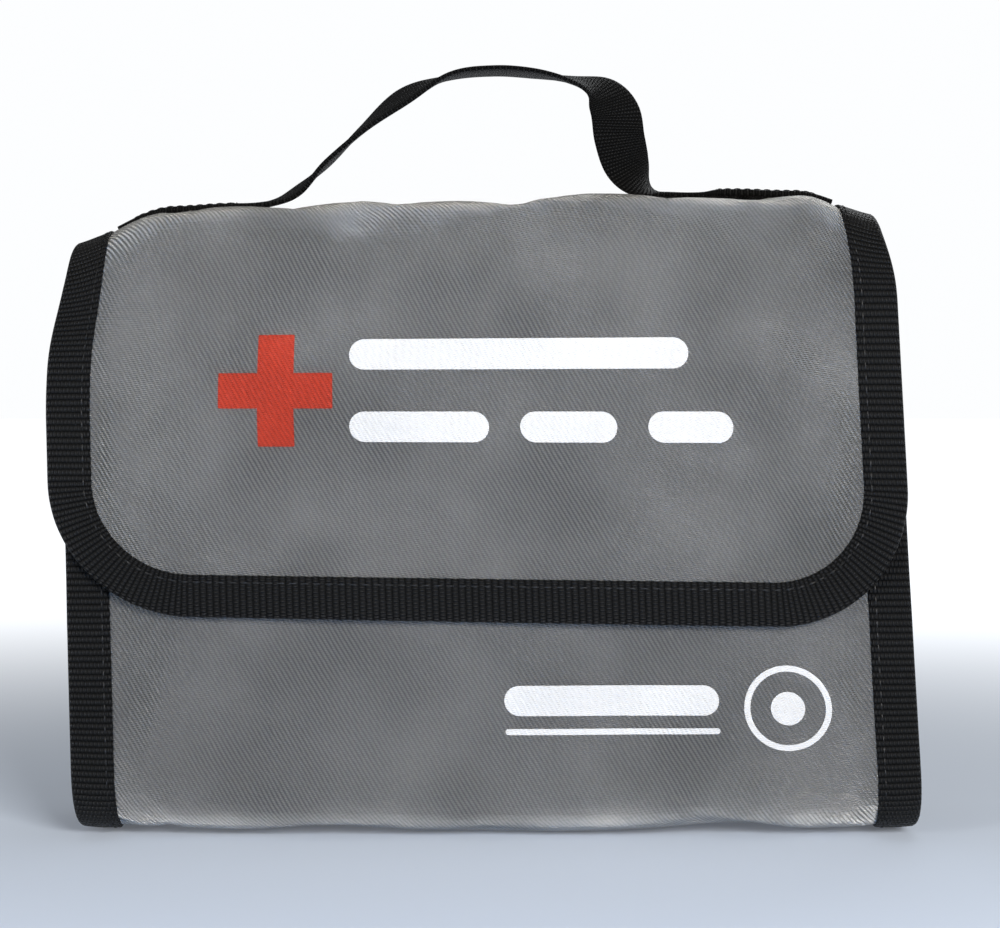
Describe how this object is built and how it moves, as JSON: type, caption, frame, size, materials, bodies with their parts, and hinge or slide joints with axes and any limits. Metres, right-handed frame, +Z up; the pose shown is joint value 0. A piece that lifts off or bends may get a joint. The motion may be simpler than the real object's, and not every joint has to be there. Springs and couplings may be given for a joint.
{
  "type": "soft first aid kit",
  "caption": "Flat soft carrying case with bound edges, a fold-over lid and flap, a webbing handle on top, and packed first aid supplies.",
  "frame": {"origin": "under the middle of the case, on the plane that it stands on", "axes": "+Z up, -Y out of the front (the flap side), +X to the right when seen from the front"},
  "size_m": [0.222, 0.0766, 0.2077],
  "materials": {
    "gray_twill": "coated polyester twill",
    "black_webbing": "ribbed grosgrain and woven webbing",
    "foam": "closed-cell foam",
    "lining_cloth": "plain woven nylon",
    "divider_cloth": "plain woven nylon",
    "hook_tape": "moulded hooks",
    "loop_tape": "brushed loops",
    "red_print": "transfer print",
    "white_print": "transfer print",
    "elastic_cloth": "woven elastic crepe",
    "cohesive_cloth": "crimped non-woven",
    "gauze": "open woven cotton",
    "folded_cotton": "plain cotton",
    "adhesive_tape": "zinc-oxide tape",
    "tape_core_board": "pressed board",
    "carton": "coated carton",
    "foil": "crinkled foil film",
    "nitrile": "gloves in a clear sleeve",
    "cold_pouch": "sealed film pouch",
    "paper_packet": "paper",
    "wipe_film": "sealed film pouch",
    "leaflet_paper": "folded paper",
    "blade_steel": "ground stainless steel",
    "bow_plastic": "moulded plastic"
  },
  "bodies": {
    "case": {"case_twill": "gray_twill", "left_gusset": "gray_twill", "right_gusset": "gray_twill", "case_foam": "foam", "case_lining": "lining_cloth", "left_edge_binding": "black_webbing", "right_edge_binding": "black_webbing", "left_gusset_binding": "black_webbing", "right_gusset_binding": "black_webbing", "mouth_binding": "black_webbing", "front_divider_binding": "black_webbing", "back_divider_binding": "black_webbing", "front_divider": "divider_cloth", "back_divider": "divider_cloth", "loop_strip": "loop_tape", "corner_print": "white_print", "elastic_bandage": "elastic_cloth", "cohesive_bandage": "cohesive_cloth", "gauze_bandage": "gauze", "tape_core": "tape_core_board", "tape_roll": "adhesive_tape", "triangular_bandage": "folded_cotton", "plaster_carton": "carton", "foil_blanket": "foil", "glove_packet": "nitrile", "cold_pack": "cold_pouch", "gauze_pads": "paper_packet", "wipes_packet": "wipe_film", "guide_leaflet": "leaflet_paper", "scissors_back_blade": "blade_steel", "scissors_rivet": "blade_steel", "scissors_back_bow": "bow_plastic", "tweezers_left_arm": "blade_steel"},
    "lid": {"lid_twill": "gray_twill", "lid_foam": "foam", "lid_lining": "lining_cloth", "left_lid_binding": "black_webbing", "right_lid_binding": "black_webbing", "left_strap_end": "black_webbing", "right_strap_end": "black_webbing"},
    "flap": {"flap_twill": "gray_twill", "flap_foam": "foam", "flap_lining": "lining_cloth", "flap_binding": "black_webbing", "hook_strip": "hook_tape", "cross_print": "red_print", "title_print": "white_print"},
    "handle": {"handle_strap": "black_webbing"},
    "scissors_lever": {"scissors_front_blade": "blade_steel", "scissors_front_bow": "bow_plastic"},
    "tweezers_arm": {"tweezers_right_arm": "blade_steel"}
  },
  "joints": [
    {"name": "lid_fold", "type": "hinge", "parent": "case", "child": "lid", "pos_m": [0, 0.0383, 0.15], "axis": [-1, 0, 0], "range_deg": [0, 170]},
    {"name": "flap_fold", "type": "hinge", "parent": "lid", "child": "flap", "pos_m": [0, -0.0383, 0.15], "axis": [-1, 0, 0], "range_deg": [0, 120]},
    {"name": "handle_swing", "type": "hinge", "parent": "lid", "child": "handle", "pos_m": [0, 0, 0.1695], "axis": [1, 0, 0], "range_deg": [-70, 70]},
    {"name": "scissors_pivot", "type": "hinge", "parent": "case", "child": "scissors_lever", "pos_m": [-0.05, -0.0261, 0.05697], "axis": [0, 1, 0], "range_deg": [0, 30]},
    {"name": "tweezers_spring", "type": "hinge", "parent": "case", "child": "tweezers_arm", "pos_m": [0.0456, -0.0261, 0.09417], "axis": [0, 1, 0], "range_deg": [0, 4.5], "stiffness_Nm_per_rad": 1}
  ]
}
